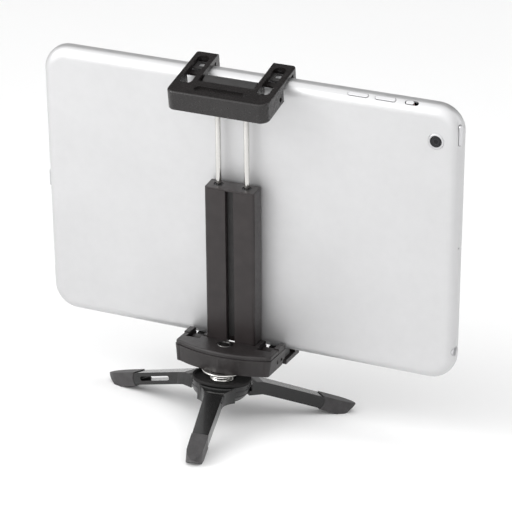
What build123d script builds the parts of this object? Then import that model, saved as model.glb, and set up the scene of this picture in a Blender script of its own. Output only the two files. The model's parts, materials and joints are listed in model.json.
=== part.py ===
"""Tablet prompter on a folding table tripod.

A sprung clamp holds a tablet in landscape, screen towards -Y. The clamp stands
on a ball head over a small three-legged tripod. Millimetres, +Z up, origin on
the floor under the middle of the whole object's box.
"""
import math
import os

from build123d import *

os.makedirs("parts", exist_ok=True)

# ---- driving dimensions -------------------------------------------------
TAB_L, TAB_H, TAB_T = 200.0, 134.7, 7.2    # tablet: length, height, thickness
TAB_R = 12.0                               # its corner radius
TAB_SIDE = 2.2                             # straight part of its edge
TAB_X = -4.0                               # tablet centre from the clamp's centre
LEAN = 12.5                                # how far the screen leans back, degrees
SPLAY = 8.0                                # jaw plane against the tablet's normal
BALL_Z = 17.2                              # ball centre above the floor
BALL_R = 6.2
SEAM_UP = 15.15                            # ball centre to the jaw's parting line
AXIS_X, AXIS_Y = 4.2, -9.7                 # the tripod's axis from the origin
LEG_AZ = {"front": -12.4, "left": 107.6, "right": -132.4}   # from +Y towards +X
HUB_R, HUB_TOP, HUB_BOTTOM = 13.85, 20.8, 9.8
SLEEVE_R = 9.6                             # hub sleeve the leg rings turn on
LEG_IN = 14.3                              # inner end of a leg's bar
CAVITY_R = 7.15                            # spherical seat in the hub
RUN = 0.05                                 # radial clearance of a running fit
GAP = 0.1                                  # clearance between seated pieces
ROD_R, ROD_X, ROD_Y = 1.25, 6.85, 12.3     # clamp rods
COL_W, COL_FRONT, COL_REAR = 24.0, 8.2, 17.0
COL_BOTTOM, COL_TOP = -63.0, 15.0
PIN_R = 1.2                                # jaw hinge pins
JAW_HALF = 23.8                            # half the width of both jaws
GAP_HALF = 13.2                            # half the gap between a jaw's prongs
LOW_PIN_Y, LOW_PIN_Z = -14.0, -4.3         # lower hinge, jaw frame
UP_PIN_Y, UP_PIN_Z = -10.8, -2.3           # upper hinge, jaw frame

# ---- frames -------------------------------------------------------------
LOW_JAW = Pos(0, 0, BALL_Z) * Rot(SPLAY - LEAN, 0, 0) * Pos(0, 0, SEAM_UP)
TABLET = LOW_JAW * Rot(-SPLAY, 0, 0) * Pos(0, -26.3, 62.25)
UP_JAW = TABLET * Pos(0, 25, 63.5) * Rot(0.5 - SPLAY, 0, 0)
# Tablet piece frame: x to the clamp's right seen from behind, y up, z to the rear.
FACE = Location(Plane(origin=(0, 0, 0), x_dir=(-1, 0, 0), z_dir=(0, 1, 0)))
SLAB = TABLET * Pos(TAB_X, 0, 0) * FACE


def save(name, solid, frame=None):
    """Write one piece, moved from its own frame, about the tripod's axis, into the row frame."""
    placed = Pos(AXIS_X, AXIS_Y, 0) * (solid if frame is None else frame * solid)
    placed.label = name
    export_step(placed, f"parts/{name}.step")


def box(x0, x1, y0, y1, z0, z1):
    """Box from its low and high corners."""
    return Pos((x0 + x1) / 2, (y0 + y1) / 2, (z0 + z1) / 2) * Box(x1 - x0, y1 - y0, z1 - z0)


def rod_z(r, z0, z1, x=0.0, y=0.0):
    """Upright cylinder between two heights."""
    return Pos(x, y, (z0 + z1) / 2) * Cylinder(r, z1 - z0)


def rod_x(r, x0, x1, y=0.0, z=0.0):
    """Cylinder along X."""
    return Pos((x0 + x1) / 2, y, z) * Rot(0, 90, 0) * Cylinder(r, x1 - x0)


def turned(points):
    """Solid of revolution about Z from an (r, z) outline."""
    outline = Polyline([(r, 0, z) for r, z in points] + [(points[0][0], 0, points[0][1])])
    return revolve(make_face(outline), Axis.Z)


def slab_x(points, x0, x1):
    """Prism along X from a (y, z) outline."""
    outline = Polyline([(x0, y, z) for y, z in points] + [(x0, points[0][0], points[0][1])])
    return extrude(make_face(outline), x1 - x0, dir=(1, 0, 0))


def slab_z(points, z0, z1):
    """Upright prism from an (x, y) outline."""
    outline = Polyline([(x, y, z0) for x, y in points] + [(points[0][0], points[0][1], z0)])
    return extrude(make_face(outline), z1 - z0, dir=(0, 0, 1))


def obround(length, width, height, along_y=False):
    """Upright rounded-end prism centred on the origin."""
    if along_y:
        return extrude(Rot(0, 0, 90) * SlotOverall(length, width), height / 2, both=True)
    return extrude(SlotOverall(length, width), height / 2, both=True)


def coil(r, wire, pitch, height):
    """Round-wire helical spring standing on z = 0."""
    path = Helix(pitch, height, r)
    section = Plane(origin=path @ 0, z_dir=path % 0) * Circle(wire)
    return sweep(section, path=path, is_frenet=True)


def mirrored(solid):
    """The same piece on the other side of the clamp."""
    return mirror(solid, about=Plane.YZ)


# ---- tripod -------------------------------------------------------------
RING_LEVELS = {"right": (12.2, 14.3), "left": (14.8, 16.9), "front": (17.4, 19.3)}
ROOT_HALF = {"right": 5.4, "left": 5.4, "front": 8.8}       # half width at the hub
LEG_HALF_W = 3.6
LEG_END_R, LEG_END_Z, LEG_END_BULGE = 46.1, 7.0, 4.6        # round end of the plastic leg
SLOPE = 0.295                               # fall of the leg along its length
SLEEVE_TOP = 19.4


def radial(outline, half_w):
    """Prism from a (radius, height) outline, radius along +Y."""
    return slab_x(outline, -half_w, half_w)


def bowl():
    """Smooth outside shape shared by the hub and the three leg rings."""
    side = ThreePointArc((6.0, 0, HUB_BOTTOM), (11.7, 0, 12.6), (13.65, 0, SLEEVE_TOP))
    rest = Polyline([(13.65, 0, SLEEVE_TOP), (0, 0, SLEEVE_TOP), (0, 0, HUB_BOTTOM), (6.0, 0, HUB_BOTTOM)])
    return revolve(make_face([side, rest]), Axis.Z)


def leg_plan(root_half):
    """Leg seen from above: a root that flares into the hub, then a gentle taper."""
    near, far = 12.0, LEG_END_R + 6.0
    right = ThreePointArc((root_half, near, 0), (4.9, 17.4, 0), (4.15, 23.0, 0))
    left = ThreePointArc((-root_half, near, 0), (-4.9, 17.4, 0), (-4.15, 23.0, 0))
    right_edge = Line((4.15, 23.0, 0), (LEG_HALF_W, far, 0))
    left_edge = Line((-4.15, 23.0, 0), (-LEG_HALF_W, far, 0))
    inner = Line((-root_half, near, 0), (root_half, near, 0))
    outer = Line((-LEG_HALF_W, far, 0), (LEG_HALF_W, far, 0))
    return make_face([inner, right, right_edge, outer, left_edge, left])


def leg_end(grow=0.0):
    """Space taken by the plastic leg: straight up to its bulging end."""
    return box(-20, 20, 0, LEG_END_R + grow, -5, 30) + rod_x(
        LEG_END_BULGE + grow, -20, 20, LEG_END_R, LEG_END_Z)


def leg(side):
    """Leg with its ring: it turns about the hub sleeve."""
    z0, z1 = RING_LEVELS[side]
    top_in = 19.4 if side == "front" else 18.5
    body = radial([
        (10.0, top_in), (15.5, 18.5), (19.0, 18.2), (51.0, 18.2 - 32.0 * SLOPE),
        (51.0, 12.2 - 32.0 * SLOPE), (19.0, 12.2), (10.0, 12.2),
    ], 20)
    plan = leg_plan(ROOT_HALF[side])
    body = body & extrude(plan, 30, dir=(0, 0, 1)) & leg_end()
    body -= rod_z(HUB_R - 0.1 if side == "front" else LEG_IN, 0, 30)
    level = box(-20, 20, -20, 20, z0, z1)
    ring = bowl() & level
    bridge = level & extrude(plan, 30, dir=(0, 0, 1)) & rod_z(LEG_IN + 0.8, 0, 30)
    body += (ring + bridge) - rod_z(SLEEVE_R + RUN, 0, 30)
    body += radial([(44.0, 9.1), (55.5, 5.9), (55.5, 3.7), (44.0, 6.9)], 2.0)
    if side == "left":
        slot = Pos(0, 37.2, 9.84) * Rot(-16.4, 0, 0) * Rot(0, 90, 0) * obround(18.5, 2.1, 30, along_y=True)
        body -= slot
    return body


def foot():
    """Rubber foot pushed over the leg's tongue, flat where it rests."""
    side = [
        (45.0, 18.2 - 26.0 * SLOPE + 0.4), (67.0, 4.4), (68.2, 3.9), (68.2, 3.5),
        (62.3, 0.1), (61.6, 0), (57.6, 0), (45.0, 4.1),
    ]
    half = LEG_HALF_W + 0.35
    side_r = Line((half, 45.0, 0), (half - 0.25, 60.5, 0))
    side_l = Line((-half, 45.0, 0), (-half + 0.25, 60.5, 0))
    tip_r = ThreePointArc((half - 0.25, 60.5, 0), (half - 1.2, 64.9, 0), (0.7, 68.0, 0))
    tip_l = ThreePointArc((-half + 0.25, 60.5, 0), (-half + 1.2, 64.9, 0), (-0.7, 68.0, 0))
    nose = Line((0.7, 68.0, 0), (-0.7, 68.0, 0))
    plan = make_face([Line((-half, 45.0, 0), (half, 45.0, 0)), side_r, tip_r, nose, tip_l, side_l])
    body = radial(side, half + 1) & extrude(plan, 20, dir=(0, 0, 1))
    pocket = radial([(44.0, 9.2), (55.6, 6.0), (55.6, 3.6), (44.0, 6.8)], 2.1)
    return body - leg_end(0.05) - pocket


def hub_cup():
    """Bowl and sleeve: holds the ball's seat and carries the leg rings."""
    outer = bowl() & box(-20, 20, -20, 20, 5, 12.1)
    outer += rod_z(SLEEVE_R, 12.0, SLEEVE_TOP)
    cavity = Pos(0, 0, BALL_Z) * Sphere(CAVITY_R) & box(-9, 9, -9, 9, 10.9, 30)
    return outer - cavity


def hub_cap():
    """Screwed ring that closes the hub round the ball, with a raised rim."""
    ring = turned([
        (5.0, 19.5), (HUB_R, 19.5), (HUB_R, 20.5), (HUB_R - 0.3, HUB_TOP), (12.7, HUB_TOP),
        (12.4, 20.1), (5.0, 20.1),
    ])
    return ring - Pos(0, 0, BALL_Z) * Sphere(CAVITY_R + 0.05)


def seat(low, high):
    """Zone of the plastic shell between ball and hub, heights from the ball's centre."""
    shell = Sphere(CAVITY_R - RUN) - Sphere(BALL_R + RUN)
    return shell & box(-9, 9, -9, 9, low, high)


def ball_stud():
    """Steel ball, neck, flange and screwed stud in one turned piece."""
    top = SEAM_UP
    flange = turned([
        (0, 4.0), (4.6, 4.0), (5.0, 6.0), (8.6, top - 9.1), (9.2, top - 8.8), (9.2, top - 8.15),
        (8.9, top - 8.02), (0, top - 8.02),
    ])
    stud = rod_z(2.9, top - 8.1, top - 2.4)
    for i in range(6):
        stud += rod_z(3.12, top - 7.4 + 0.8 * i, top - 7.0 + 0.8 * i)
    return Sphere(BALL_R) + flange + stud


def washer(z0):
    """Friction washer between two leg rings."""
    return (bowl() & box(-20, 20, -20, 20, z0, z0 + 0.4)) - rod_z(SLEEVE_R + 0.15, 0, 30)


def build_tripod():
    for side, az in LEG_AZ.items():
        save(f"leg_{side}", leg(side), Rot(0, 0, -az))
        save(f"foot_{side}", foot(), Rot(0, 0, -az))
    save("hub_cup", hub_cup())
    save("hub_cap", hub_cap())
    save("washer_lower", washer(14.35))
    save("washer_upper", washer(16.95))
    save("seat_cup", seat(-4.6, -1.9), Pos(0, 0, BALL_Z))
    save("seat_ring", seat(0.0, 2.4), Pos(0, 0, BALL_Z))
    save("ball_stud", ball_stud(), Pos(0, 0, BALL_Z) * Rot(SPLAY - LEAN, 0, 0))


# ---- lower jaw (own frame: z = 0 is the parting line, z along the stud) --
HOUSE_FRONT = -18.3
SKIRT_FOOT = -8.0
EAR_Y, EAR_Z, EAR_R = -16.5, 0.8, 1.6       # round front end of the ears' tops
REAR_SIDE_Y, REAR_MID_Y = 1.7, 6.5          # rear wall, at the corners and the middle
WALL = 1.8
DRAFT = 7.0                                 # slope of the housing's walls, degrees


def rear_face(inset=0.0):
    """Plan of the housing: straight sides and front, bowed rear."""
    w = JAW_HALF - inset
    front, side, mid = HOUSE_FRONT + inset, REAR_SIDE_Y - inset, REAR_MID_Y - inset
    corner = 3.0
    edge = Polyline([(-w, side - corner, 0), (-w, front, 0), (w, front, 0), (w, side - corner, 0)])
    bow = ThreePointArc((w - corner, side, 0), (0, mid, 0), (-w + corner, side, 0))
    right = ThreePointArc((w, side - corner, 0), (w - 0.8, side - 0.8, 0), (w - corner, side, 0))
    left = ThreePointArc((-w + corner, side, 0), (-w + 0.8, side - 0.8, 0), (-w, side - corner, 0))
    return make_face([edge, right, bow, left])


def lower_housing():
    """Open-topped shell with the stud boss, hinge ears and a slot for each arm."""
    outer = extrude(rear_face(), -SKIRT_FOOT, dir=(0, 0, -1), taper=DRAFT)
    inner = Pos(0, 0, 0) * extrude(rear_face(WALL), -SKIRT_FOOT - 1.6, dir=(0, 0, -1))
    body = outer - inner
    body += rod_z(6.4, SKIRT_FOOT + 0.2, -1.0)
    body -= rod_z(4.1, SKIRT_FOOT - 1, 5)
    for s in (-1, 1):
        # arm passage through the front wall and floor
        a, b = sorted((s * 14.3, s * 20.9))
        body -= box(a, b, HOUSE_FRONT - 1, LOW_PIN_Y + 6.4, SKIRT_FOOT - 1, 1)
        for x0, x1 in ((12.2, 14.0), (21.1, 23.6)):
            a, b = sorted((s * x0, s * x1))
            ear = box(a, b, EAR_Y - EAR_R, LOW_PIN_Y + 4.1, -5.0, EAR_Z)
            ear += box(a, b, EAR_Y, LOW_PIN_Y + 4.1, EAR_Z, EAR_Z + EAR_R)
            ear += rod_x(EAR_R, a, b, EAR_Y, EAR_Z)
            body += ear
    body -= box(-12.2, 12.2, HOUSE_FRONT - 1, HOUSE_FRONT + 2.4, -6.0, 1)
    body -= rod_x(PIN_R + 0.02, -25, 25, LOW_PIN_Y, LOW_PIN_Z)
    return body


def lower_cover():
    """Domed lid over the housing, notched for the arms and the column."""
    low, high = 0.15, 2.1
    lid = Pos(0, 0, low) * extrude(rear_face(0.25), high - low)
    lid = fillet(lid.edges().group_by(Axis.Z)[-1], 0.9)
    for s in (-1, 1):
        a, b = sorted((s * 14.2, s * 21.0))
        lid -= box(a, b, HOUSE_FRONT - 1, LOW_PIN_Y + 8.4, -1, 5)
        for x0, x1 in ((12.1, 14.3), (20.9, 25)):
            a, b = sorted((s * x0, s * x1))
            lid -= box(a, b, HOUSE_FRONT - 1, LOW_PIN_Y + 4.3, -1, 5)
    # column passage, cut square to the leaning column
    passage = Rot(-SPLAY, 0, 0) * Pos(0, -26.3, 62.25) * box(
        -COL_W / 2 - GAP, COL_W / 2 + GAP, 0, COL_REAR + GAP, -70, -50)
    lid -= passage
    lid -= rod_z(2.3, -1, 5, 1.0, -4.6)
    lid -= Pos(1.0, -4.6, high) * Cylinder(3.8, 1.5)
    return lid


def lower_arm():
    """Two prongs joined by a bar, with hooks in front of the tablet."""
    foot_z, plate_z = -8.9, -6.7
    plate_front = -37.0
    body = box(-GAP_HALF - 1, GAP_HALF + 1, -27.5, -21.5, foot_z, foot_z + 1.8)
    for s in (-1, 1):
        a, b = sorted((s * GAP_HALF, s * (JAW_HALF - 0.2)))
        profile = [
            (HOUSE_FRONT - 2.3, foot_z), (plate_front, foot_z), (plate_front - 0.3, -8.0),
            (-29.6, 1.9), (-28.2, 1.9), (-31.8, -6.7), (HOUSE_FRONT - 2.3, plate_z),
        ]
        prong = slab_x(profile, a, b)
        recess = Pos(s * 18.0, -26.2, plate_z) * obround(8.0, 4.6, 2.4, along_y=True)
        prong -= recess
        c, d = sorted((s * 14.6, s * 20.6))
        neck = slab_x([(HOUSE_FRONT - 3.0, foot_z), (LOW_PIN_Y, foot_z), (LOW_PIN_Y, -6.6),
                       (HOUSE_FRONT - 3.0, plate_z)], c, d)
        knuckle = rod_x(4.6, c, d, LOW_PIN_Y, LOW_PIN_Z)
        body += prong + neck + knuckle
    return body - rod_x(PIN_R + RUN, -24, 24, LOW_PIN_Y, LOW_PIN_Z)


def lower_pad():
    """Rubber saddle under the tablet's edge, right-hand side (+X)."""
    in_tablet = box(14.2, 22.0, -1.6, 5.4, -75, -TAB_H / 2 - 0.08)
    lip = box(14.2, 22.0, -1.6, -0.15, -75, -TAB_H / 2 + 3.2)
    pad = Rot(-SPLAY, 0, 0) * Pos(0, -26.3, 62.25) * (in_tablet + lip)
    keep = slab_x([(-31.2, -6.6), (-28.6, -0.4), (-27.3, 2.4), (-20.0, 2.4), (-20.0, -6.6)], 14, 23)
    return pad & keep


def pin_spring(x0, turns, r):
    """Torsion spring wound on a hinge pin, starting at x0."""
    return Pos(x0, 0, 0) * Rot(0, 90, 0) * coil(r, 0.22, 0.62, 0.62 * turns)


def foot_bracket():
    """Cast block in the housing: takes the column's screws and the hinge pin."""
    block = box(-7.6, 7.6, -17.6, -6.8, -5.9, -1.9) - rod_z(6.5, -9, 0)
    block -= rod_x(PIN_R + 0.02, -9, 9, LOW_PIN_Y, LOW_PIN_Z)
    for s in (-1, 1):
        block -= rod_z(0.95, -7, 0, s * 4.6, -10.0)
        block -= rod_z(1.75, -6.5, -4.9, s * 4.6, -10.0)
    return block


def foot_screw(s):
    """Pan screw from the bracket up into the column."""
    screw = rod_z(1.65, -6.1, -5.0, s * 4.6, -10.0) + rod_z(0.9, -5.1, -2.0, s * 4.6, -10.0)
    return screw - Pos(s * 4.6, -10.0, -6.1) * Box(2.2, 0.5, 0.8)


def insert():
    """Threaded bush that takes the stud."""
    bush = rod_z(4.05, SKIRT_FOOT + 0.1, -0.9)
    for i in range(5):
        bush -= rod_z(4.2, -7.0 + 1.2 * i, -6.6 + 1.2 * i) - rod_z(3.85, -8, 0)
    return bush - rod_z(3.17, SKIRT_FOOT - 1, -2.0)


def cover_screw():
    """Bright cupped screw that holds the lid."""
    head = Pos(1.0, -4.6, 0) * turned([
        (0, 1.5), (3.6, 1.5), (3.6, 2.1), (3.3, 2.35), (2.7, 2.35), (2.2, 1.85), (0, 1.75),
    ])
    return head + rod_z(2.2, -0.6, 1.6, 1.0, -4.6)


def build_lower_jaw():
    save("lower_housing", lower_housing(), LOW_JAW)
    save("lower_cover", lower_cover(), LOW_JAW)
    save("lower_arm", lower_arm(), LOW_JAW)
    save("lower_pad_left", lower_pad(), LOW_JAW)
    save("lower_pad_right", mirrored(lower_pad()), LOW_JAW)
    save("lower_pin", rod_x(PIN_R, -22.6, 22.6, LOW_PIN_Y, LOW_PIN_Z), LOW_JAW)
    spring = Pos(0, LOW_PIN_Y, LOW_PIN_Z) * pin_spring(8.6, 5, 1.75)
    save("lower_spring_left", spring, LOW_JAW)
    save("lower_spring_right", mirrored(spring), LOW_JAW)
    save("foot_bracket", foot_bracket(), LOW_JAW)
    save("foot_screw_left", foot_screw(1), LOW_JAW)
    save("foot_screw_right", foot_screw(-1), LOW_JAW)
    save("stud_insert", insert(), LOW_JAW)
    save("cover_screw", cover_screw(), LOW_JAW)


# ---- column, rods and crosshead (tablet frame) --------------------------
SPRING_R, SPRING_WIRE = 2.3, 0.28
BORE_R = 3.0
GROOVE_W, GROOVE_D = 3.9, 3.3
ROD_FOOT, ROD_HEAD = -18.0, 60.5
NUT_H = 2.6
CAP_H = 0.9


def column():
    """Extruded column with two spring bores and a groove down its back."""
    w = COL_W / 2
    body = box(-w, w, COL_FRONT, COL_REAR, COL_BOTTOM, COL_TOP)
    rear = body.edges().filter_by(Axis.Z).group_by(Axis.Y)[-1]
    body = fillet(rear, 1.1)
    front = body.edges().filter_by(Axis.Z).group_by(Axis.Y)[0]
    body = fillet(front, 0.8)
    body -= box(-GROOVE_W / 2, GROOVE_W / 2, COL_REAR - GROOVE_D, COL_REAR + 1, COL_BOTTOM - 1, COL_TOP + 1)
    for s in (-1, 1):
        body -= rod_z(BORE_R, -59.5, COL_TOP + 1, s * ROD_X, ROD_Y)
    # foot cut flat on the lower jaw's bracket
    cut = Pos(0, 26.3, -62.25) * Rot(SPLAY, 0, 0) * box(-20, 20, -40, 10, -20, -1.7)
    return body - cut


def column_inlay():
    """Dark strip in the floor of the column's rear groove."""
    floor = COL_REAR - GROOVE_D
    return box(-GROOVE_W / 2 + 0.05, GROOVE_W / 2 - 0.05, floor + 0.05, floor + 0.75, -60.0, COL_TOP - 0.2)


def column_cap():
    """Flat cap over the column with a hole for each rod."""
    w = COL_W / 2
    cap = box(-w, w, COL_FRONT, COL_REAR, COL_TOP + GAP, COL_TOP + CAP_H)
    rear = cap.edges().filter_by(Axis.Z).group_by(Axis.Y)[-1]
    cap = fillet(rear, 1.1)
    cap = chamfer(cap.edges().group_by(Axis.Z)[-1], 0.25)
    for s in (-1, 1):
        cap -= rod_z(2.2, 0, 30, s * ROD_X, ROD_Y)
    return cap


def guide_bush(s):
    """Plastic bush that guides a rod through the cap."""
    bush = rod_z(2.1, COL_TOP, COL_TOP + CAP_H - 0.3, s * ROD_X, ROD_Y)
    bush += rod_z(BORE_R - GAP, 10.2, COL_TOP, s * ROD_X, ROD_Y)
    return bush - rod_z(ROD_R + RUN, 0, 30, s * ROD_X, ROD_Y)


def rod(s):
    """Bright rod with a necked lower end."""
    bar = rod_z(ROD_R, ROD_FOOT, ROD_HEAD, s * ROD_X, ROD_Y)
    return chamfer(bar.edges().filter_by(GeomType.CIRCLE), 0.25)


def rod_nut(s):
    """Stop nut on a rod's lower end."""
    nut = rod_z(2.6, ROD_FOOT + 1.0, ROD_FOOT + 1.0 + NUT_H, s * ROD_X, ROD_Y)
    return nut - rod_z(ROD_R + 0.02, -40, 0, s * ROD_X, ROD_Y)


def main_spring(s):
    """Closing spring between a stop nut and the guide bush."""
    z0, z1 = ROD_FOOT + 1.5 + NUT_H, 9.6
    return Pos(s * ROD_X, ROD_Y, z0) * coil(SPRING_R, SPRING_WIRE, 1.9, z1 - z0)


def build_column():
    save("column", column(), TABLET)
    save("column_inlay", column_inlay(), TABLET)
    save("column_cap", column_cap(), TABLET)
    for name, s in (("left", 1), ("right", -1)):
        save(f"guide_bush_{name}", guide_bush(s), TABLET)
        save(f"rod_{name}", rod(s), TABLET)
        save(f"rod_nut_{name}", rod_nut(s), TABLET)
        save(f"main_spring_{name}", main_spring(s), TABLET)


# ---- upper jaw (own frame: z = 0 midway up the skirt) -------------------
UP_TOP, UP_FOOT = 3.9, -5.2
UP_REAR, UP_FRONT = 6.0, -30.6
PLATE = 2.0
BAR_FRONT = -6.2
SKIRT_FRONT = -14.5
PAD_SWEEP = 14.85                           # hinge to the hook's inner face: clears the tablet
SLOT_W, SLOT_L, SLOT_X, SLOT_Y = 5.6, 24.5, 18.3, -15.0
SHELVES = ((-18.3, -15.0, 0.3), (-8.2, -1.8, -0.9))   # ledges under a slot: y range and underside


def upper_frame():
    """U-shaped jaw: rear bar and skirt, two slotted prongs with hooks."""
    block = box(-JAW_HALF, JAW_HALF, UP_FRONT, UP_REAR, UP_FOOT, UP_TOP)
    rear = block.edges().filter_by(Axis.Z).group_by(Axis.Y)[-1]
    block = fillet(rear, 4.0)
    block = fillet(block.edges().filter_by(Axis.Z).group_by(Axis.Y)[0], 1.5)
    block = fillet(block.edges().group_by(Axis.Z)[-1], 0.8)
    under = box(-JAW_HALF + WALL, JAW_HALF - WALL, SKIRT_FRONT, UP_REAR - WALL, UP_FOOT - 1, UP_TOP - PLATE)
    body = block - under
    body -= box(-JAW_HALF - 1, JAW_HALF + 1, -26.6, SKIRT_FRONT, UP_FOOT - 1, UP_TOP - PLATE)
    body -= box(-JAW_HALF - 1, JAW_HALF + 1, UP_FRONT - 1, -26.0, UP_FOOT - 1, -2.6)
    body -= box(-GAP_HALF, GAP_HALF, UP_FRONT - 1, BAR_FRONT, UP_FOOT - 1, UP_TOP + 1)
    for s in (-1, 1):
        a, b = sorted((s * GAP_HALF, s * (GAP_HALF + 1.7)))
        ear = box(a, b, SKIRT_FRONT, -7.2, UP_PIN_Z, UP_TOP - 1)
        ear += rod_x(3.2, a, b, UP_PIN_Y, UP_PIN_Z)
        body += ear
        c, d = sorted((s * (JAW_HALF - WALL), s * JAW_HALF))
        body += rod_x(2.6, c, d, UP_PIN_Y - 1.0, UP_PIN_Z)
        body -= Pos(s * SLOT_X, SLOT_Y, UP_TOP) * obround(SLOT_L, SLOT_W, 8.0, along_y=True)
        e, f = sorted((s * (GAP_HALF + 0.4), s * (JAW_HALF - 0.5)))
        for y0, y1, z0 in SHELVES:
            body += box(e, f, y0, y1, z0, UP_TOP - PLATE + 0.1) - box(
                s * SLOT_X - 2.8, s * SLOT_X + 2.8, y0 - 1, y1 + 1, z0 + 1.0, 5)
    body -= Pos(0, 0.2, UP_TOP) * obround(24.2, 4.2, 2.4)
    return body - rod_x(PIN_R + 0.02, -25, 25, UP_PIN_Y, UP_PIN_Z)


def upper_pin_place():
    """Upper hinge pin's y and z in the tablet frame."""
    pin = (Pos(0, 25, 63.5) * Rot(0.5 - SPLAY, 0, 0) * Pos(0, UP_PIN_Y, UP_PIN_Z)).position
    return pin.Y, pin.Z


def crosshead():
    """Block on the two rods; its barrel turns on the upper pin."""
    y, z = upper_pin_place()
    body = rod_x(3.9, -12.4, 12.4, y, z)
    body += box(-12.0, 12.0, ROD_Y - 3.0, y + 3.0, 57.6, z)
    body -= rod_x(2.7, -3.2, 3.2, y, z)
    body -= rod_x(PIN_R + RUN, -20, 20, y, z)
    for s in (-1, 1):
        body -= rod_z(ROD_R + 0.02, 40, ROD_HEAD + 0.15, s * ROD_X, ROD_Y)
    return body


def barrel_grip():
    """Rubber sleeve over the barrel's top, drawn out towards the tablet."""
    y, z = upper_pin_place()
    r, out, up = 4.75, 1.3, 0.7
    n = math.hypot(out, up)
    ty, tz = r * up / n, r * out / n
    sleeve = rod_x(r, -12.3, 12.3, y, z) + rod_x(r, -12.3, 12.3, y - out, z + up)
    web = [(y, z), (y + ty, z + tz), (y - out + ty, z + up + tz), (y - out, z + up)]
    sleeve += slab_x(web, -12.3, 12.3)
    sleeve = sleeve & box(-13, 13, y - 8, y + 6, z + 0.2, z + 7)
    return sleeve - rod_x(3.95, -13, 13, y, z)


def upper_pad():
    """Rubber pad round a prong's slot, resting on the tablet's edge (+X side)."""
    top = TAB_H / 2 + 0.08
    pad = box(13.5, 22.7, 0.1, 6.4, top, top + 8)
    pad -= box(16.6, 19.8, -1, 4.0, top - 1, top + 9)
    y, z = upper_pin_place()
    hook = box(13.5, 22.7, -1.3, -0.15, TAB_H / 2 - 3.0, top + 0.6) - rod_x(PAD_SWEEP, 0, 30, y, z)
    pad += box(13.5, 16.6, -0.9, 0.2, top, top + 0.6) + box(19.8, 22.7, -0.9, 0.2, top, top + 0.6) + hook
    in_jaw = (Pos(0, 25, 63.5) * Rot(0.5 - SPLAY, 0, 0)).inverse() * pad
    return in_jaw & box(0, 30, -26.5, 10, -10, UP_TOP - PLATE - 0.08)


def build_upper_jaw():
    save("crosshead", crosshead(), TABLET)
    save("barrel_grip", barrel_grip(), TABLET)
    save("upper_frame", upper_frame(), UP_JAW)
    save("upper_pad_left", upper_pad(), UP_JAW)
    save("upper_pad_right", mirrored(upper_pad()), UP_JAW)
    save("upper_pin", rod_x(PIN_R, -22.6, 22.6, UP_PIN_Y, UP_PIN_Z), UP_JAW)
    spring = Pos(-1.6, UP_PIN_Y, UP_PIN_Z) * pin_spring(0, 5, 1.75)
    save("upper_spring", spring, UP_JAW)


# ---- tablet (own frame: x to the right seen from behind, y up, z to the rear) --
EDGE_R = TAB_T - TAB_SIDE - 0.05            # curve from the side into the back
SHELL = 1.1
GLASS_T = 0.9
SOCKET_DEPTH = 3.5                          # sockets, from the front face
KEY_TILT = 30.0                             # keys stand square to the curved edge, degrees
KEY_OUT = 0.35                              # how far a key stands out
CAM_X, CAM_Y = 89.0, 51.5
KEYS = {"volume_up": (52.3, 9.4), "volume_down": (64.9, 9.4)}   # place, length
POWER_Y, POWER_L = 54.9, 9.6
MUTE_X, MUTE_L = 76.9, 6.0
JACK_Y = -52.0
JACK_R = 1.75


def tablet_block(inset, z0, z1, edge):
    """Rounded slab with its rear edge curved by `edge`."""
    outline = RectangleRounded(TAB_L - 2 * inset, TAB_H - 2 * inset, TAB_R - inset)
    block = Pos(0, 0, z0) * extrude(outline, z1 - z0)
    return fillet(block.edges().group_by(Axis.Z)[-1], edge)


def top_key_place(x):
    """Frame on the curved top edge: local z is outwards, x along the edge."""
    a = math.radians(KEY_TILT)
    return Pos(x, TAB_H / 2 - EDGE_R * (1 - math.cos(a)), TAB_T - EDGE_R * (1 - math.sin(a))) * Rot(
        KEY_TILT - 90, 0, 0)


def side_key_place(y):
    """The same frame on the curved edge at the camera's end."""
    a = math.radians(KEY_TILT)
    return Pos(TAB_L / 2 - EDGE_R * (1 - math.cos(a)), y, TAB_T - EDGE_R * (1 - math.sin(a))) * Rot(
        0, 90 - KEY_TILT, 0) * Rot(0, 0, 90)


def tablet_housing():
    """Aluminium back shell with openings for keys, camera and sockets."""
    body = tablet_block(0, 0, TAB_T, EDGE_R)
    body -= tablet_block(SHELL, -1, TAB_T - 0.9, 4.0)
    body -= Pos(0, 0, -1) * extrude(RectangleRounded(TAB_L - 1.2, TAB_H - 1.2, TAB_R - 0.6), GLASS_T + 1)
    body -= Pos(CAM_X, CAM_Y, TAB_T) * Cylinder(3.7, 4)
    side = TAB_L / 2
    for x, length in KEYS.values():
        body -= top_key_place(x) * obround(length + 0.3, 2.3, 8)
    body -= top_key_place(MUTE_X) * obround(MUTE_L + 0.3, 2.3, 8)
    body -= side_key_place(POWER_Y) * obround(POWER_L + 0.3, 2.3, 8)
    body -= rod_x(2.35, side - 4, side + 1, JACK_Y, SOCKET_DEPTH)
    body -= rod_x(0.5, side - 4, side + 1, 0, SOCKET_DEPTH)
    body -= Pos(-side, 0, SOCKET_DEPTH) * Rot(0, 90, 0) * obround(9.2, 3.3, 8, along_y=True)
    for i in range(8):
        for s in (-1, 1):
            body -= rod_x(0.45, -side - 1, -side + 4, s * (12 + 1.9 * i), SOCKET_DEPTH)
    return body


def tablet_glass():
    """Front glass with the home key's hole."""
    glass = extrude(RectangleRounded(TAB_L - 1.4, TAB_H - 1.4, TAB_R - 0.7), GLASS_T - 0.02)
    return glass - Pos(-TAB_L / 2 + 10.2, 0, 0) * Cylinder(5.3, 4)


def side_key(length, width, depth):
    """Key standing out of an edge: local z is outwards."""
    cap = Pos(0, 0, KEY_OUT - depth / 2) * obround(length, width, depth)
    return fillet(cap.edges().group_by(Axis.Z)[-1], 0.3)


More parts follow.
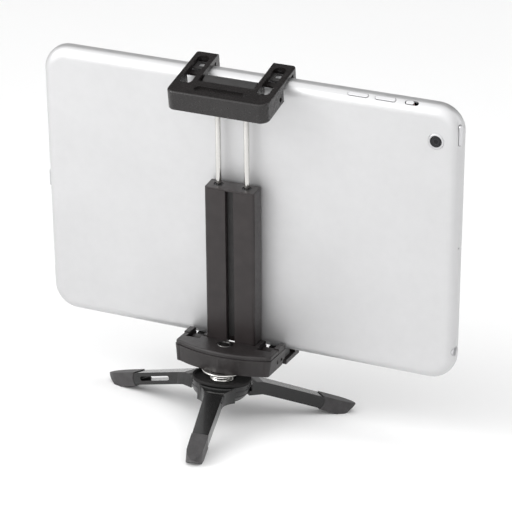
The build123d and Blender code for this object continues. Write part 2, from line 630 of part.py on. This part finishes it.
def dock_port():
    """Liner of the charging socket."""
    body = Pos(0, 0, 3.5) * obround(9.0, 3.1, 7.0, along_y=True)
    body -= Pos(0, 0, 0.5) * obround(7.6, 1.8, 8.0, along_y=True)
    return body


def camera_ring():
    """Bright bezel round the rear lens, in a base that closes the hole."""
    ring = Pos(CAM_X, CAM_Y, TAB_T) * turned([
        (0, -1.6), (3.6, -1.6), (3.6, 0.12), (3.3, 0.2), (2.75, 0.2), (2.75, -0.6), (0, -0.6),
    ])
    return ring


def build_tablet():
    side = TAB_L / 2
    save("tablet_housing", tablet_housing(), SLAB)
    save("tablet_glass", tablet_glass(), SLAB)
    save("tablet_display", box(-81.0, 81.0, -60.8, 60.8, GLASS_T + 0.05, 2.1), SLAB)
    save("tablet_battery", box(-70, 30, -52, 52, 2.2, 5.4), SLAB)
    save("tablet_board", box(34, 78, -52, 52, 2.2, 4.2), SLAB)
    save("home_key", Pos(-side + 10.2, 0, 0.75) * Cylinder(5.2, 1.1), SLAB)
    for name, (x, length) in KEYS.items():
        save(f"{name}_key", top_key_place(x) * side_key(length, 2.0, 2.2), SLAB)
    save("mute_switch", top_key_place(MUTE_X - 0.8) * side_key(3.8, 1.9, 2.2), SLAB)
    save("power_key", side_key_place(POWER_Y) * side_key(POWER_L, 2.0, 2.2), SLAB)
    jack = rod_x(2.3, side - 14.6, side - 0.35, JACK_Y, SOCKET_DEPTH)
    jack -= rod_x(JACK_R, side - 13.6, side + 1, JACK_Y, SOCKET_DEPTH)
    save("headphone_socket", jack, SLAB)
    dock = Pos(-side + 0.3, 0, SOCKET_DEPTH) * Rot(0, 90, 0) * dock_port()
    save("charging_socket", dock, SLAB)
    save("camera_ring", camera_ring(), SLAB)
    save("camera_lens", Pos(CAM_X, CAM_Y, TAB_T - 0.2) * Cylinder(2.65, 0.7), SLAB)


build_tripod()
build_lower_jaw()
build_column()
build_upper_jaw()
build_tablet()
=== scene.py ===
"""Tablet prompter on a folding table tripod: looks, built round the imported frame."""
import json
import math

import bmesh
import bpy
from mathutils import Matrix, Vector


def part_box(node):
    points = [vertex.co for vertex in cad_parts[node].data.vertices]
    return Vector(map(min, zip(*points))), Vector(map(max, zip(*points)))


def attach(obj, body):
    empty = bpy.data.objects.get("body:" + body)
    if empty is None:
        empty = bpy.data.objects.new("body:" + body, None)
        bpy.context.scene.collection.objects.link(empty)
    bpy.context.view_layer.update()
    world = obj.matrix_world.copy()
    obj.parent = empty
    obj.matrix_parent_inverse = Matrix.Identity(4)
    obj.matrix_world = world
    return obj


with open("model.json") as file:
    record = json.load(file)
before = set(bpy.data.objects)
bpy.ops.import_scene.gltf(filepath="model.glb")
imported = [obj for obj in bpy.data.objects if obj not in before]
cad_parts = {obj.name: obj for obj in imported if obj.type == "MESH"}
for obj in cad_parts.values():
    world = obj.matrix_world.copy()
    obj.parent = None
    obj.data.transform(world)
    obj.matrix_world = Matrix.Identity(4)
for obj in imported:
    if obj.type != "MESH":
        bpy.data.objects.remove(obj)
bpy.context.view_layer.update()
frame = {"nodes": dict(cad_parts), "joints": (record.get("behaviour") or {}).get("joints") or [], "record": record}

MM = 0.001
NODES = frame["nodes"]


# ---- materials ------------------------------------------------------------
class Look:
    """One node-based material: a Principled shader and small helpers for its inputs."""

    def __init__(self, name, base, rough, metal=0.0, **fixed):
        self.mat = bpy.data.materials.new(name)
        self.mat.use_nodes = True
        self.tree = self.mat.node_tree
        self.shader = self.tree.nodes["Principled BSDF"]
        self.place = self.tree.nodes.new("ShaderNodeTexCoord").outputs["Object"]
        self.base, self.rough = base, rough
        self.height = None
        self.set("Base Color", (*base, 1))
        self.set("Roughness", rough)
        self.set("Metallic", metal)
        for key, value in fixed.items():
            self.set(key.replace("_", " "), value)
        self.mat.diffuse_color = (*base, 1)

    def set(self, socket, value):
        self.shader.inputs[socket].default_value = value

    def link(self, out, socket):
        self.tree.links.new(out, socket)

    def node(self, kind, **values):
        made = self.tree.nodes.new("ShaderNode" + kind)
        for key, value in values.items():
            if key in made.inputs:
                made.inputs[key].default_value = value
            else:
                setattr(made, key, value)
        return made

    def scaled(self, stretch=(1, 1, 1)):
        """Object coordinates, stretched along X, Y and Z."""
        mapping = self.node("Mapping")
        mapping.inputs["Scale"].default_value = stretch
        self.link(self.place, mapping.inputs["Vector"])
        return mapping.outputs["Vector"]

    def noise(self, size_mm, detail=2.0, stretch=(1, 1, 1)):
        made = self.node("TexNoise", Scale=1.0 / (size_mm * MM), Detail=detail, Roughness=0.5)
        self.link(self.scaled(stretch), made.inputs["Vector"])
        return made.outputs["Fac"]

    def cells(self, size_mm):
        made = self.node("TexVoronoi", Scale=1.0 / (size_mm * MM))
        self.link(self.scaled(), made.inputs["Vector"])
        return made.outputs["Distance"]

    def ramp(self, fac, low, high, at=(0.3, 0.7)):
        """A colour from low to high as fac crosses the two places in at."""
        made = self.node("ValToRGB")
        made.color_ramp.elements[0].position, made.color_ramp.elements[1].position = at
        made.color_ramp.elements[0].color = (*low, 1)
        made.color_ramp.elements[1].color = (*high, 1)
        self.link(fac, made.inputs["Fac"])
        return made.outputs["Color"]

    def span(self, fac, low, high, at=(0.3, 0.7)):
        """A number from low to high as fac crosses the two places in at."""
        made = self.node("MapRange")
        for key, value in (("From Min", at[0]), ("From Max", at[1]), ("To Min", low), ("To Max", high)):
            made.inputs[key].default_value = value
        self.link(fac, made.inputs["Value"])
        return made.outputs["Result"]

    def vary_colour(self, fac, spread):
        low = tuple(c * (1 - spread) for c in self.base)
        high = tuple(min(1.0, c * (1 + spread)) for c in self.base)
        self.link(self.ramp(fac, low, high), self.shader.inputs["Base Color"])

    def vary_rough(self, fac, spread):
        rough = self.span(fac, self.rough - spread, self.rough + spread)
        self.link(rough, self.shader.inputs["Roughness"])

    def bump(self, fac, depth_mm):
        """Surface relief; a second call adds its relief to the first's."""
        made = self.node("Bump", Strength=1.0, Distance=depth_mm * MM)
        self.link(fac, made.inputs["Height"])
        if self.height is not None:
            self.link(self.height, made.inputs["Normal"])
        self.height = made.outputs["Normal"]
        self.link(self.height, self.shader.inputs["Normal"])


def gloss_plastic(name, base, rough, coat):
    look = Look(name, base, rough, Coat_Weight=coat, Coat_Roughness=0.06, IOR=1.5, Specular_IOR_Level=0.36)
    look.vary_colour(look.noise(9.0), 0.15)
    look.vary_rough(look.noise(2.5, 4.0), 0.04)
    look.bump(look.noise(6.0), 0.01)
    look.bump(look.noise(1.2, 1.0), 0.0004)
    return look.mat


def moulded_plastic(name, base, rough, grain_mm=0.2, depth=0.004, coat=0.0, shine=0.36):
    look = Look(name, base, rough, IOR=1.47, Coat_Weight=coat, Coat_Roughness=0.25, Specular_IOR_Level=shine)
    look.vary_colour(look.noise(6.0, 3.0), 0.16)
    look.vary_rough(look.noise(1.2, 3.0), 0.05)
    look.bump(look.cells(grain_mm), depth)
    look.bump(look.noise(grain_mm * 0.5, 2.0), depth * 0.5)
    return look.mat


def rubber(name, base, grain_mm=0.3, rough=0.72):
    look = Look(name, base, rough, Sheen_Weight=0.15, Sheen_Roughness=0.45, IOR=1.42)
    look.vary_colour(look.noise(4.0, 4.0), 0.2)
    look.vary_rough(look.noise(0.8, 2.0), 0.08)
    look.bump(look.noise(grain_mm, 4.0), 0.014)
    return look.mat


def turned_steel(name, base, rough, stretch=(1, 1, 14)):
    look = Look(name, base, rough, metal=1.0)
    lines = look.noise(0.9, 5.0, stretch)
    look.vary_colour(lines, 0.08)
    look.vary_rough(lines, 0.05)
    look.bump(look.noise(0.5, 3.0, stretch), 0.002)
    return look.mat


def blasted_aluminium(name, base, rough):
    look = Look(name, base, rough, metal=1.0)
    look.vary_colour(look.noise(35.0, 2.0), 0.02)
    look.vary_rough(look.noise(5.0, 4.0), 0.03)
    look.bump(look.noise(0.11, 2.0), 0.004)
    return look.mat


def dark_glass(name, base):
    look = Look(name, base, 0.05, IOR=1.5, Coat_Weight=0.6, Coat_Roughness=0.03)
    look.vary_colour(look.noise(50.0), 0.15)
    look.vary_rough(look.noise(14.0, 5.0), 0.025)
    return look.mat


SCREEN_OFF = (0.028, 0.03, 0.035)       # the display's field, seen through the front glass
FIELD_EDGE = 0.1 * MM                   # how soft the field's edge is, each side


def front_glass(name, base):
    """Black glass, with the switched-off display behind it as a slightly paler field."""
    look = Look(name, base, 0.06, IOR=1.5)
    low, high = (Vector(corner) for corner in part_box("tablet_display"))
    split = look.node("SeparateXYZ")
    look.link(look.place, split.inputs["Vector"])
    sides = []
    for axis in "XZ":
        first, last = (getattr(corner, axis.lower()) for corner in (low, high))
        for edge, past in ((first, 1.0), (last, 0.0)):
            step = (edge - FIELD_EDGE, edge + FIELD_EDGE)
            sides.append(look.span(split.outputs[axis], 1.0 - past, past, step))
    inside = sides[0]
    for side in sides[1:]:
        both = look.node("Math", operation="MULTIPLY")
        look.link(inside, both.inputs[0])
        look.link(side, both.inputs[1])
        inside = both.outputs["Value"]
    look.link(look.ramp(inside, base, SCREEN_OFF, (0.0, 1.0)), look.shader.inputs["Base Color"])
    look.vary_rough(look.noise(14.0, 5.0), 0.025)
    return look.mat


LENS_REACH = 3 * MM                     # distance from the lens's centre at the end of the rings' scale
LENS_RINGS = ((0.36, 0.002), (0.42, 0.03), (0.5, 0.006), (0.8, 0.01))       # place on it, grey


def lens_glass(name, base):
    """Black camera window with a faint ring round its pupil."""
    look = Look(name, base, 0.08, IOR=1.38)
    low, high = (Vector(corner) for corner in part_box("camera_lens"))
    away = look.node("VectorMath", operation="DISTANCE")
    look.link(look.place, away.inputs[0])
    away.inputs[1].default_value = (low + high) / 2
    rings = look.node("ValToRGB")
    for at, shade in LENS_RINGS:
        stop = rings.color_ramp.elements.new(at)
        stop.color = (shade, shade, shade * 1.2, 1)
    look.link(look.span(away.outputs["Value"], 0.0, 1.0, (0.0, LENS_REACH)), rings.inputs["Fac"])
    rings.color_ramp.elements[0].color = (0.001, 0.001, 0.002, 1)
    rings.color_ramp.elements[-1].color = (0.01, 0.01, 0.012, 1)
    look.link(rings.outputs["Color"], look.shader.inputs["Base Color"])
    look.vary_rough(look.noise(3.0, 2.0), 0.02)
    return look.mat


def circuit_board(name):
    """Green board with a relief of small parts."""
    look = Look(name, (0.02, 0.09, 0.045), 0.4)
    look.vary_colour(look.cells(3.0), 0.5)
    look.bump(look.cells(2.0), 0.1)
    return look.mat


MATERIALS = {
    "leg_gloss": gloss_plastic("leg_gloss", (0.005, 0.005, 0.005), 0.2, 0.3),
    "jaw_gloss": gloss_plastic("jaw_gloss", (0.011, 0.0095, 0.0095), 0.27, 0.2),
    "body_satin": moulded_plastic("body_satin", (0.018, 0.0155, 0.0155), 0.42, coat=0.1),
    "column_satin": moulded_plastic("column_satin", (0.022, 0.018, 0.018), 0.36, 0.14, 0.002, 0.1),
    "rubber_foot": rubber("rubber_foot", (0.04, 0.038, 0.039)),
    "rubber_pad": rubber("rubber_pad", (0.018, 0.017, 0.017), 0.25, 0.5),
    "steel": turned_steel("steel", (0.62, 0.61, 0.59), 0.16),
    "black_steel": turned_steel("black_steel", (0.1, 0.098, 0.096), 0.3),
    "spring_steel": turned_steel("spring_steel", (0.42, 0.42, 0.43), 0.3, (1, 1, 1)),
    "matte_black": moulded_plastic("matte_black", (0.009, 0.0085, 0.0085), 0.55, shine=0.2),
    "nylon": moulded_plastic("nylon", (0.02, 0.02, 0.022), 0.5),
    "brass": turned_steel("brass", (0.62, 0.48, 0.25), 0.26),
    "cast_grey": moulded_plastic("cast_grey", (0.16, 0.16, 0.165), 0.55, 0.4, 0.04),
    "tablet_silver": blasted_aluminium("tablet_silver", (0.615, 0.615, 0.62), 0.56),
    "key_silver": blasted_aluminium("key_silver", (0.6, 0.6, 0.61), 0.3),
    "tablet_glass": front_glass("tablet_glass", (0.004, 0.004, 0.005)),
    "screen": dark_glass("screen", (0.012, 0.014, 0.02)),
    "lens": lens_glass("lens", (0.006, 0.006, 0.008)),
    "cell": moulded_plastic("cell", (0.04, 0.04, 0.042), 0.5),
    "board": circuit_board("board"),
    "socket": moulded_plastic("socket", (0.4, 0.4, 0.41), 0.45),
}


# ---- carried-over CAD nodes -------------------------------------------------
BEVEL_MM = {"upper_frame": 0.3, "lower_housing": 0.35, "leg_front": 0.5, "leg_left": 0.5, "leg_right": 0.5,
            "foot_front": 0.4, "foot_left": 0.4, "foot_right": 0.4, "column": 0.2}
PLAIN_BEVEL_MM = 0.12
WELD = 1e-6                             # metres
FLAT_ANGLE = math.radians(0.6)          # facets closer than this merge into one
SHARP_ANGLE = math.radians(32)          # edges sharper than this are softened

# round pieces keep the CAD's facets, because a bevel would cut them
ROUND = {"ball_stud", "cover_screw", "camera_lens", "camera_ring", "rod_left", "rod_right", "home_key",
         "upper_pin", "lower_pin", "guide_bush_left", "guide_bush_right", "hub_cap", "hub_cup", "barrel_grip",
         "seat_cup", "seat_ring", "washer_lower", "washer_upper", "main_spring_left", "main_spring_right",
         "lower_spring_left", "lower_spring_right", "upper_spring", "rod_nut_left", "rod_nut_right"}

# pieces with a finish of their own, darker than their slot's
OWN_FINISH = {"cover_screw": "black_steel", "hub_cap": "matte_black", "hub_cup": "matte_black"}


def dress_node(name, slot):
    """Give a CAD node its material and softened edges."""
    piece = NODES[name]
    piece.data.materials.clear()
    piece.data.materials.append(MATERIALS[OWN_FINISH.get(name, slot)])
    weld = piece.modifiers.new("weld", "WELD")
    weld.merge_threshold = WELD
    if name in ROUND:
        return
    flat = piece.modifiers.new("flat", "DECIMATE")
    flat.decimate_type = "DISSOLVE"
    flat.angle_limit = FLAT_ANGLE
    soft = piece.modifiers.new("soft", "BEVEL")
    soft.width = BEVEL_MM.get(name, PLAIN_BEVEL_MM) * MM
    soft.segments = 3
    soft.limit_method = "ANGLE"
    soft.angle_limit = SHARP_ANGLE
    soft.harden_normals = True
    soft.use_clamp_overlap = True


SLOT_OF = {s["node"]: s["material_slot"] for s in frame["record"]["subparts"]}
for node_name, slot_name in SLOT_OF.items():
    dress_node(node_name, slot_name)


# ---- small pieces the CAD leaves out -----------------------------------------
DOME_ROWS = ((1.0, 0.0), (0.94, 0.12), (0.7, 0.2), (0.35, 0.24))    # part of the radius, rise in mm
DOME_STEPS = 32


def dome(name, middle, along, out, half, radius, look):
    """Low rounded boss on the tablet with an obround outline: half and radius are in mm."""
    across = out.cross(along)
    form = bmesh.new()
    rows = []
    for part, rise in DOME_ROWS:
        row = []
        for i in range(DOME_STEPS):
            turn = math.tau * (i + 0.5) / DOME_STEPS
            reach = math.copysign(half, math.cos(turn)) + radius * part * math.cos(turn)
            row.append(form.verts.new(
                middle + (out * rise + along * reach + across * radius * part * math.sin(turn)) * MM))
        rows.append(row)
    for outer, inner in zip(rows, rows[1:]):
        for i in range(DOME_STEPS):
            after = (i + 1) % DOME_STEPS
            form.faces.new((outer[i], outer[after], inner[after], inner[i]))
    form.faces.new(rows[-1])
    form.faces.new(list(reversed(rows[0])))
    bmesh.ops.recalc_face_normals(form, faces=form.faces)
    mesh = bpy.data.meshes.new(name)
    form.to_mesh(mesh)
    form.free()
    for face in mesh.polygons:
        face.use_smooth = True
    mesh.materials.append(look)
    piece = bpy.data.objects.new(name, mesh)
    bpy.context.scene.collection.objects.link(piece)
    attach(piece, "tablet")


OPEN_END = 2.9                          # mm from the switch's middle to the open end of its recess
FLOOR_DEPTH, DOT_DEPTH = 1.55, 1.4      # mm below the switch's middle


def mute_recess():
    """Light floor of the slide switch's recess and the orange dot on it, below the switch's travel."""
    low, high = (Vector(corner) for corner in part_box("mute_switch"))
    out = -next(Vector(j["axis"]) for j in frame["joints"] if j["name"] == "volume_up_press")
    along = Vector((1, 0, 0))
    open_end = (low + high) / 2 - along * OPEN_END * MM
    light = moulded_plastic("recess_floor", (0.75, 0.75, 0.76), 0.4)
    orange = moulded_plastic("orange_dot", (0.85, 0.15, 0.05), 0.4)
    dome("mute_floor", open_end - out * FLOOR_DEPTH * MM, along, out, 0.15, 0.85, light)
    dome("mute_dot", open_end - out * DOT_DEPTH * MM, along, out, 0.0, 0.42, orange)


mute_recess()


# ---- floor, light and camera ------------------------------------------------
FLOOR_HALF = 6.0
FLOOR_WHITE = (0.9, 0.9, 0.9)
LAMP_AIM = Vector((0, 0, 0.08))
LAMPS = (                               # name, place, size, watts
    ("key", (0.6, 0.6, 0.5), 0.45, 3.6),
    ("side", (-1.15, -0.5, 0.8), 0.8, 4.0),
)
SKY_STRENGTH = 2.8
SKY_ANGLE = math.radians(120)
SKY_TURN = (math.radians(-36), math.radians(12), 0)

# the surround's strength is the larger of two falls: direction from, to; strength from, to
SIDE_FALL = (-0.5, 0.7, 0.12, 0.52)     # along Y: dark on the screen's side
HORIZON_FALL = (0.2, 0.38, 0.7, 0.12)   # along Z: bright near the floor


def ground():
    """Plain white floor."""
    look = Look("floor", FLOOR_WHITE, 0.6, Specular_IOR_Level=0.15)
    look.vary_rough(look.noise(300.0), 0.03)
    mesh = bpy.data.meshes.new("floor")
    corners = [(x * FLOOR_HALF, y * FLOOR_HALF, 0) for x, y in ((-1, -1), (1, -1), (1, 1), (-1, 1))]
    mesh.from_pydata(corners, [], [(0, 1, 2, 3)])
    floor = bpy.data.objects.new("floor", mesh)
    bpy.context.scene.collection.objects.link(floor)
    mesh.materials.append(look.mat)


def surround():
    """White world, brighter behind the camera and near the floor."""
    world = bpy.data.worlds.new("studio")
    bpy.context.scene.world = world
    world.use_nodes = True
    tree = world.node_tree
    way = tree.nodes.new("ShaderNodeTexCoord")
    split = tree.nodes.new("ShaderNodeSeparateXYZ")
    tree.links.new(way.outputs["Generated"], split.inputs["Vector"])
    most = tree.nodes.new("ShaderNodeMath")
    most.operation = "MAXIMUM"
    for i, (axis, numbers) in enumerate((("Y", SIDE_FALL), ("Z", HORIZON_FALL))):
        fall = tree.nodes.new("ShaderNodeMapRange")
        for key, value in zip(("From Min", "From Max", "To Min", "To Max"), numbers):
            fall.inputs[key].default_value = value
        tree.links.new(split.outputs[axis], fall.inputs["Value"])
        tree.links.new(fall.outputs["Result"], most.inputs[i])
    tree.links.new(most.outputs["Value"], tree.nodes["Background"].inputs["Strength"])
    tree.nodes["Background"].inputs["Color"].default_value = (1, 1, 1, 1)


def lamps():
    """Two soft lamps and a very wide sun."""
    for name, at, size, power in LAMPS:
        data = bpy.data.lights.new(name, "AREA")
        data.size = size
        data.energy = power
        lamp = bpy.data.objects.new(name, data)
        bpy.context.scene.collection.objects.link(lamp)
        lamp.location = at
        lamp.rotation_mode = "QUATERNION"
        lamp.rotation_quaternion = (LAMP_AIM - Vector(at)).to_track_quat("-Z", "Y")
    sky = bpy.data.objects.new("sky", bpy.data.lights.new("sky", "SUN"))
    sky.data.energy, sky.data.angle = SKY_STRENGTH, SKY_ANGLE
    sky.rotation_euler = SKY_TURN
    bpy.context.scene.collection.objects.link(sky)


CAMERA_AZIMUTH = 200.6          # 180 looks straight at the tablet's back
CAMERA_ELEVATION = 15.91
CAMERA_ROLL = 4.53
CAMERA_DISTANCE = 1.1512
CAMERA_AIM = Vector((-0.0059, -0.0163, 0.0751))      # from the floor under the tripod's axis
CAMERA_LENS = 176.57


def camera():
    """Long-lens camera behind and a little above the tablet."""
    azimuth, elevation = math.radians(CAMERA_AZIMUTH), math.radians(CAMERA_ELEVATION)
    back = Vector((math.sin(azimuth) * math.cos(elevation), -math.cos(azimuth) * math.cos(elevation),
                   math.sin(elevation)))
    data = bpy.data.cameras.new("camera")
    data.lens = CAMERA_LENS
    data.sensor_width = 36.0
    data.clip_start = 0.05
    data.clip_end = 50.0
    made = bpy.data.objects.new("camera", data)
    bpy.context.scene.collection.objects.link(made)
    made.rotation_mode = "QUATERNION"
    low, high = (Vector(corner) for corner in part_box("hub_cap"))
    axis = (low + high) / 2
    made.location = Vector((axis.x, axis.y, 0)) + CAMERA_AIM + back * CAMERA_DISTANCE
    level = (-back).to_track_quat("-Z", "Y")
    made.rotation_quaternion = level @ Matrix.Rotation(math.radians(CAMERA_ROLL), 4, "Z").to_quaternion()
    bpy.context.scene.camera = made


ground()
surround()
lamps()
bpy.context.scene.view_settings.view_transform = "Standard"
camera()
